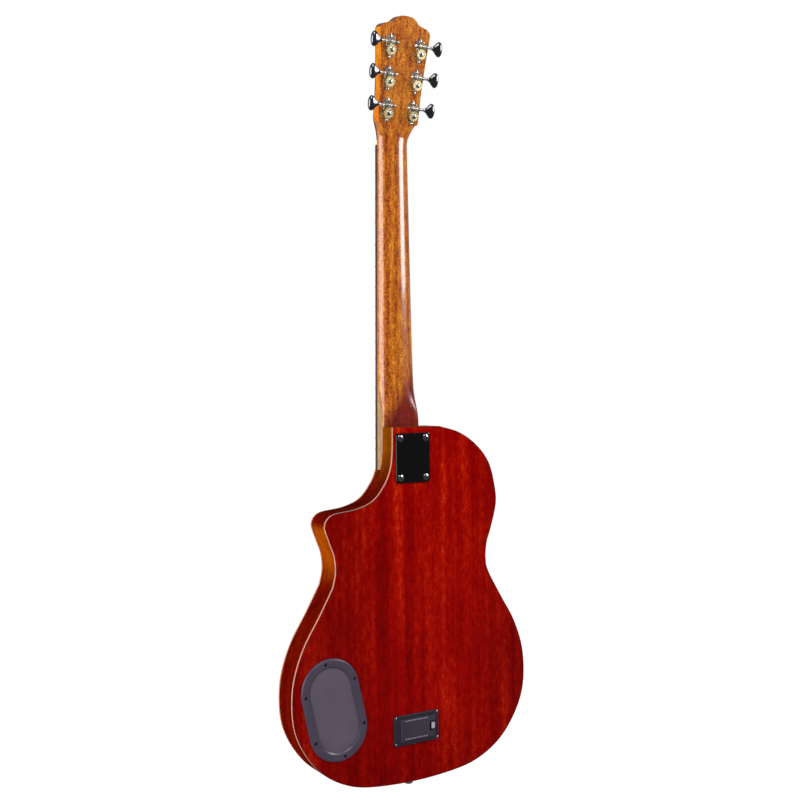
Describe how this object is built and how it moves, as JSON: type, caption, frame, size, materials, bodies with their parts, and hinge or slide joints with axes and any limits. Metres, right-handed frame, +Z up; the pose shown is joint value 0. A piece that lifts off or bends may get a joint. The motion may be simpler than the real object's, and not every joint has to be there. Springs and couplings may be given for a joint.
{
  "type": "thinline acoustic-electric guitar",
  "caption": "Thin hollow-bodied acoustic-electric guitar with a cutaway, bolt-on neck, open-gear tuners, a battery box and an oval cover on its back.",
  "frame": {"origin": "under the middle of the guitar, level with the end of the jack", "axes": "+Z up the neck from the jack to the head, +Y from the back through the soundboard to the strings, +X towards the bass side, away from the cutaway"},
  "size_m": [0.3486, 0.0582, 0.9931],
  "materials": {
    "side_mahogany": "gloss",
    "back_mahogany": "gloss",
    "top_spruce": "gloss",
    "cream_binding": "gloss",
    "inner_mahogany": "bare",
    "brace_spruce": "bare",
    "neck_mahogany": "gloss",
    "rosewood": "satin",
    "bone": "polished",
    "gloss_black": "gloss",
    "grey_plastic": "fine matt",
    "chrome": "polished",
    "brass": "polished",
    "steel": "bright",
    "bronze_winding": "wound",
    "circuit_board": "matt",
    "battery_case": "painted"
  },
  "bodies": {
    "guitar": {"rim": "side_mahogany", "back_plate": "back_mahogany", "top_plate": "top_spruce", "back_binding": "cream_binding", "top_binding": "cream_binding", "neck_block": "inner_mahogany", "tail_block": "inner_mahogany", "back_brace_upper": "brace_spruce", "back_brace_lower": "brace_spruce", "top_x_brace": "brace_spruce", "bridge_plate": "inner_mahogany", "neck": "neck_mahogany", "truss_rod": "steel", "head_veneer": "rosewood", "truss_rod_cover": "gloss_black", "fingerboard": "rosewood", "nut": "bone", "bridge": "rosewood", "saddle": "bone", "saddle_pickup": "steel", "string_1": "steel", "string_2": "steel", "string_3": "bronze_winding", "string_4": "bronze_winding", "string_5": "bronze_winding", "string_6": "bronze_winding", "neck_plate": "gloss_black", "neck_screw_1": "chrome", "neck_screw_2": "chrome", "neck_screw_3": "chrome", "neck_screw_4": "chrome", "oval_cover": "grey_plastic", "battery_frame": "grey_plastic", "battery": "battery_case", "preamp_board": "circuit_board", "end_jack": "chrome", "tuner_plate_1": "chrome", "tuner_plate_2": "chrome", "tuner_plate_3": "chrome", "tuner_plate_4": "chrome", "tuner_plate_5": "chrome", "tuner_plate_6": "chrome"},
    "tuner_worm_1": {"tuner_worm_1": "chrome"},
    "tuner_gear_1": {"tuner_gear_1": "brass"},
    "tuner_worm_2": {"tuner_worm_2": "chrome"},
    "tuner_gear_2": {"tuner_gear_2": "brass"},
    "tuner_worm_3": {"tuner_worm_3": "chrome"},
    "tuner_gear_3": {"tuner_gear_3": "brass"},
    "tuner_worm_4": {"tuner_worm_4": "chrome"},
    "tuner_gear_4": {"tuner_gear_4": "brass"},
    "tuner_worm_5": {"tuner_worm_5": "chrome"},
    "tuner_gear_5": {"tuner_gear_5": "brass"},
    "tuner_worm_6": {"tuner_worm_6": "chrome"},
    "tuner_gear_6": {"tuner_gear_6": "brass"},
    "knob_1": {"knob_1": "gloss_black"},
    "knob_2": {"knob_2": "gloss_black"},
    "knob_3": {"knob_3": "gloss_black"},
    "battery_door": {"battery_door": "grey_plastic"},
    "battery_latch": {"battery_latch": "grey_plastic"}
  },
  "joints": [
    {"name": "tuner_1_button_turn", "type": "hinge", "parent": "guitar", "child": "tuner_worm_1", "pos_m": [-0.01894, -0.00943, 0.87751], "axis": [1, 0, 0], "continuous": true},
    {"name": "tuner_1_post_turn", "type": "hinge", "parent": "guitar", "child": "tuner_gear_1", "pos_m": [-0.01894, -0.00217, 0.86898], "axis": [0, -0.9816, -0.1908], "continuous": true},
    {"name": "tuner_2_button_turn", "type": "hinge", "parent": "guitar", "child": "tuner_worm_2", "pos_m": [-0.02054, -0.01693, 0.91608], "axis": [1, 0, 0], "continuous": true},
    {"name": "tuner_2_post_turn", "type": "hinge", "parent": "guitar", "child": "tuner_gear_2", "pos_m": [-0.02054, -0.00967, 0.90756], "axis": [0, -0.9816, -0.1908], "continuous": true},
    {"name": "tuner_3_button_turn", "type": "hinge", "parent": "guitar", "child": "tuner_worm_3", "pos_m": [-0.02214, -0.02443, 0.95466], "axis": [1, 0, 0], "continuous": true},
    {"name": "tuner_3_post_turn", "type": "hinge", "parent": "guitar", "child": "tuner_gear_3", "pos_m": [-0.02214, -0.01717, 0.94614], "axis": [0, -0.9816, -0.1908], "continuous": true},
    {"name": "tuner_4_button_turn", "type": "hinge", "parent": "guitar", "child": "tuner_worm_4", "pos_m": [0.02226, -0.02443, 0.95466], "axis": [1, 0, 0], "continuous": true},
    {"name": "tuner_4_post_turn", "type": "hinge", "parent": "guitar", "child": "tuner_gear_4", "pos_m": [0.02226, -0.01717, 0.94614], "axis": [0, -0.9816, -0.1908], "continuous": true},
    {"name": "tuner_5_button_turn", "type": "hinge", "parent": "guitar", "child": "tuner_worm_5", "pos_m": [0.02066, -0.01693, 0.91608], "axis": [1, 0, 0], "continuous": true},
    {"name": "tuner_5_post_turn", "type": "hinge", "parent": "guitar", "child": "tuner_gear_5", "pos_m": [0.02066, -0.00967, 0.90756], "axis": [0, -0.9816, -0.1908], "continuous": true},
    {"name": "tuner_6_button_turn", "type": "hinge", "parent": "guitar", "child": "tuner_worm_6", "pos_m": [0.01906, -0.00943, 0.87751], "axis": [1, 0, 0], "continuous": true},
    {"name": "tuner_6_post_turn", "type": "hinge", "parent": "guitar", "child": "tuner_gear_6", "pos_m": [0.01906, -0.00217, 0.86898], "axis": [0, -0.9816, -0.1908], "continuous": true},
    {"name": "knob_1_turn", "type": "hinge", "parent": "guitar", "child": "knob_1", "pos_m": [-0.12518, 0.01449, 0.15454], "axis": [0, 1, 0], "range_deg": [-150, 150]},
    {"name": "knob_2_turn", "type": "hinge", "parent": "guitar", "child": "knob_2", "pos_m": [-0.11724, 0.01449, 0.1184], "axis": [0, 1, 0], "range_deg": [-150, 150]},
    {"name": "knob_3_turn", "type": "hinge", "parent": "guitar", "child": "knob_3", "pos_m": [-0.10929, 0.01449, 0.08226], "axis": [0, 1, 0], "range_deg": [-150, 150]},
    {"name": "battery_door_hinge", "type": "hinge", "parent": "guitar", "child": "battery_door", "pos_m": [-0.02134, -0.02641, 0.0769], "axis": [0, 0, -1], "range_deg": [0, 95]},
    {"name": "battery_latch_press", "type": "slide", "parent": "battery_door", "child": "battery_latch", "axis": [-1, 0, 0], "range_m": [0, 0.0015], "stiffness_N_per_m": 300}
  ],
  "couplings": [
    {"joint": "tuner_1_post_turn", "follows": "tuner_1_button_turn", "ratio": -0.071429},
    {"joint": "tuner_2_post_turn", "follows": "tuner_2_button_turn", "ratio": -0.071429},
    {"joint": "tuner_3_post_turn", "follows": "tuner_3_button_turn", "ratio": -0.071429},
    {"joint": "tuner_4_post_turn", "follows": "tuner_4_button_turn", "ratio": 0.071429},
    {"joint": "tuner_5_post_turn", "follows": "tuner_5_button_turn", "ratio": 0.071429},
    {"joint": "tuner_6_post_turn", "follows": "tuner_6_button_turn", "ratio": 0.071429}
  ]
}
